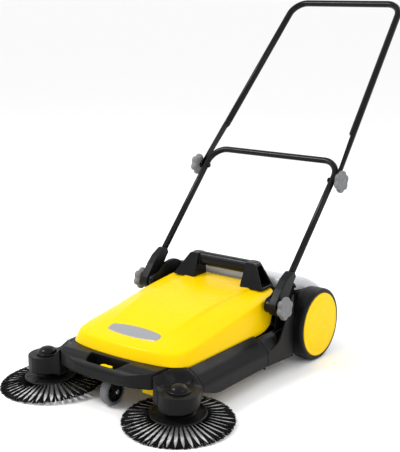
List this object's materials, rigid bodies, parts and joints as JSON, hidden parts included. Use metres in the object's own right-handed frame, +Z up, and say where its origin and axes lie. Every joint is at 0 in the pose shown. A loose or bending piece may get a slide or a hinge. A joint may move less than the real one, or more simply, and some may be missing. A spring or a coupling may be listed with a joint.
{
  "type": "walk behind sweeper",
  "caption": "Push sweeper with a moulded hood over a roller brush, tilted side brushes, a swivel castor, driven rear wheels, a pull-out dirt container and a folding U-shaped push handle.",
  "frame": {"origin": "On the floor, under the middle of the machine: bottom centre of the bounding box.", "axes": "+Z up; the front of the machine, with the side brushes, faces -Y and the push handle leans back towards +Y; right is +X."},
  "size_m": [0.68, 1.2808, 0.9612],
  "materials": {
    "hood_yellow": "glossy moulded plastic",
    "black_plastic": "fine-grained moulded plastic",
    "black_gloss": "smooth satin moulding",
    "tube_black": "semi-gloss powder coat",
    "rubber": "matt",
    "tyre_black": "matt",
    "bristle": "stiff synthetic bristle",
    "knob_grey": "fine-grained moulded plastic",
    "castor_grey": "matt",
    "container_silver": "satin moulded plastic",
    "badge_silver": "brushed satin",
    "steel": "bright"
  },
  "bodies": {
    "chassis": {"front_deck": "black_plastic", "brush_arm_left": "black_plastic", "brush_arm_right": "black_plastic", "side_panel_left": "black_plastic", "side_panel_right": "black_plastic", "rear_side_panel_left": "black_plastic", "rear_side_panel_right": "black_plastic", "frame_side_left": "black_plastic", "frame_side_right": "black_plastic", "brush_cap_left": "black_gloss", "brush_cap_right": "black_gloss", "roller_cover": "black_plastic", "front_flap": "rubber", "hood": "hood_yellow", "badge_plate": "badge_silver", "carry_handle": "black_gloss", "castor_mount": "black_plastic", "brush_guard_left": "hood_yellow", "brush_guard_right": "hood_yellow", "stub_axle_left": "steel", "stub_axle_right": "steel", "drive_belt_left": "rubber", "drive_belt_right": "rubber"},
    "castor_swivel": {"castor_fork": "black_plastic", "castor_bolt": "steel"},
    "castor_wheel": {"castor_tyre": "castor_grey", "castor_hub": "black_plastic"},
    "height_knob": {"height_knob": "hood_yellow"},
    "roller": {"roller_core": "knob_grey", "roller_bristles": "bristle", "roller_pulley_left": "knob_grey", "roller_pulley_right": "knob_grey"},
    "container": {"container_shell": "container_silver", "container_grip": "black_plastic"},
    "handle_lower": {"lower_handle": "tube_black", "handle_socket_left": "black_plastic", "handle_socket_right": "black_plastic", "pivot_bolt_left": "black_gloss", "pivot_bolt_right": "black_gloss", "fold_bolt_left": "black_gloss", "fold_bolt_right": "black_gloss"},
    "handle_upper": {"upper_handle": "tube_black"},
    "wheel_left": {"wheel_tyre_left": "tyre_black", "wheel_rim_left": "black_plastic", "hub_cap_left": "hood_yellow"},
    "pinion_left": {"pinion_left": "knob_grey"},
    "front_pulley_left": {"front_pulley_left": "knob_grey"},
    "side_brush_left": {"brush_plate_left": "black_plastic", "brush_bristles_left": "bristle"},
    "pivot_knob_left": {"pivot_knob_left": "knob_grey"},
    "fold_knob_left": {"fold_knob_left": "knob_grey"},
    "wheel_right": {"wheel_tyre_right": "tyre_black", "wheel_rim_right": "black_plastic", "hub_cap_right": "hood_yellow"},
    "pinion_right": {"pinion_right": "knob_grey"},
    "front_pulley_right": {"front_pulley_right": "knob_grey"},
    "side_brush_right": {"brush_plate_right": "black_plastic", "brush_bristles_right": "bristle"},
    "pivot_knob_right": {"pivot_knob_right": "knob_grey"},
    "fold_knob_right": {"fold_knob_right": "knob_grey"}
  },
  "joints": [
    {"name": "castor_swivel_turn", "type": "hinge", "parent": "chassis", "child": "castor_swivel", "pos_m": [0, -0.527, 0.05], "axis": [0, 0, 1], "continuous": true},
    {"name": "castor_wheel_spin", "type": "hinge", "parent": "castor_swivel", "child": "castor_wheel", "pos_m": [0, -0.507, 0.036], "axis": [1, 0, 0], "continuous": true},
    {"name": "height_knob_turn", "type": "hinge", "parent": "chassis", "child": "height_knob", "pos_m": [0, -0.527, 0.09], "axis": [0, 0, 1], "continuous": true},
    {"name": "roller_spin", "type": "hinge", "parent": "chassis", "child": "roller", "pos_m": [0, 0.01141, 0.093], "axis": [1, 0, 0], "continuous": true},
    {"name": "container_pull", "type": "slide", "parent": "chassis", "child": "container", "axis": [0, 1, 0], "range_m": [0, 0.3]},
    {"name": "handle_tilt", "type": "hinge", "parent": "chassis", "child": "handle_lower", "pos_m": [0, -0.099, 0.187], "axis": [1, 0, 0], "range_deg": [-8, 130]},
    {"name": "handle_fold", "type": "hinge", "parent": "handle_lower", "child": "handle_upper", "pos_m": [0, 0.17893, 0.4809], "axis": [-1, 0, 0], "range_deg": [-150, 0]},
    {"name": "wheel_left_spin", "type": "hinge", "parent": "chassis", "child": "wheel_left", "pos_m": [-0.228, 0.071, 0.1], "axis": [1, 0, 0], "continuous": true},
    {"name": "pinion_left_spin", "type": "hinge", "parent": "chassis", "child": "pinion_left", "pos_m": [-0.208, 0.01141, 0.093], "axis": [1, 0, 0], "continuous": true},
    {"name": "front_pulley_left_spin", "type": "hinge", "parent": "chassis", "child": "front_pulley_left", "pos_m": [-0.1965, -0.44, 0.074], "axis": [1, 0, 0], "continuous": true},
    {"name": "side_brush_left_spin", "type": "hinge", "parent": "chassis", "child": "side_brush_left", "pos_m": [-0.205, -0.506, 0.0105], "axis": [-0.0384, -0.0627, 0.9973], "continuous": true},
    {"name": "pivot_knob_left_turn", "type": "hinge", "parent": "handle_lower", "child": "pivot_knob_left", "pos_m": [-0.24, -0.099, 0.187], "axis": [1, 0, 0], "range_deg": [0, 720]},
    {"name": "fold_knob_left_turn", "type": "hinge", "parent": "handle_lower", "child": "fold_knob_left", "pos_m": [-0.24, 0.17893, 0.4809], "axis": [1, 0, 0], "range_deg": [0, 720]},
    {"name": "wheel_right_spin", "type": "hinge", "parent": "chassis", "child": "wheel_right", "pos_m": [0.228, 0.071, 0.1], "axis": [1, 0, 0], "continuous": true},
    {"name": "pinion_right_spin", "type": "hinge", "parent": "chassis", "child": "pinion_right", "pos_m": [0.208, 0.01141, 0.093], "axis": [1, 0, 0], "continuous": true},
    {"name": "front_pulley_right_spin", "type": "hinge", "parent": "chassis", "child": "front_pulley_right", "pos_m": [0.1965, -0.44, 0.074], "axis": [1, 0, 0], "continuous": true},
    {"name": "side_brush_right_spin", "type": "hinge", "parent": "chassis", "child": "side_brush_right", "pos_m": [0.205, -0.506, 0.0105], "axis": [0.0384, -0.0627, 0.9973], "continuous": true},
    {"name": "pivot_knob_right_turn", "type": "hinge", "parent": "handle_lower", "child": "pivot_knob_right", "pos_m": [0.24, -0.099, 0.187], "axis": [1, 0, 0], "range_deg": [0, 720]},
    {"name": "fold_knob_right_turn", "type": "hinge", "parent": "handle_lower", "child": "fold_knob_right", "pos_m": [0.24, 0.17893, 0.4809], "axis": [1, 0, 0], "range_deg": [0, 720]}
  ],
  "couplings": [
    {"joint": "roller_spin", "follows": "wheel_left_spin", "ratio": 4},
    {"joint": "pinion_left_spin", "follows": "wheel_left_spin", "ratio": 4},
    {"joint": "front_pulley_left_spin", "follows": "wheel_left_spin", "ratio": 4},
    {"joint": "side_brush_left_spin", "follows": "wheel_left_spin", "ratio": 1.2},
    {"joint": "pinion_right_spin", "follows": "wheel_right_spin", "ratio": 4},
    {"joint": "front_pulley_right_spin", "follows": "wheel_left_spin", "ratio": 4},
    {"joint": "side_brush_right_spin", "follows": "wheel_left_spin", "ratio": -1.2}
  ]
}
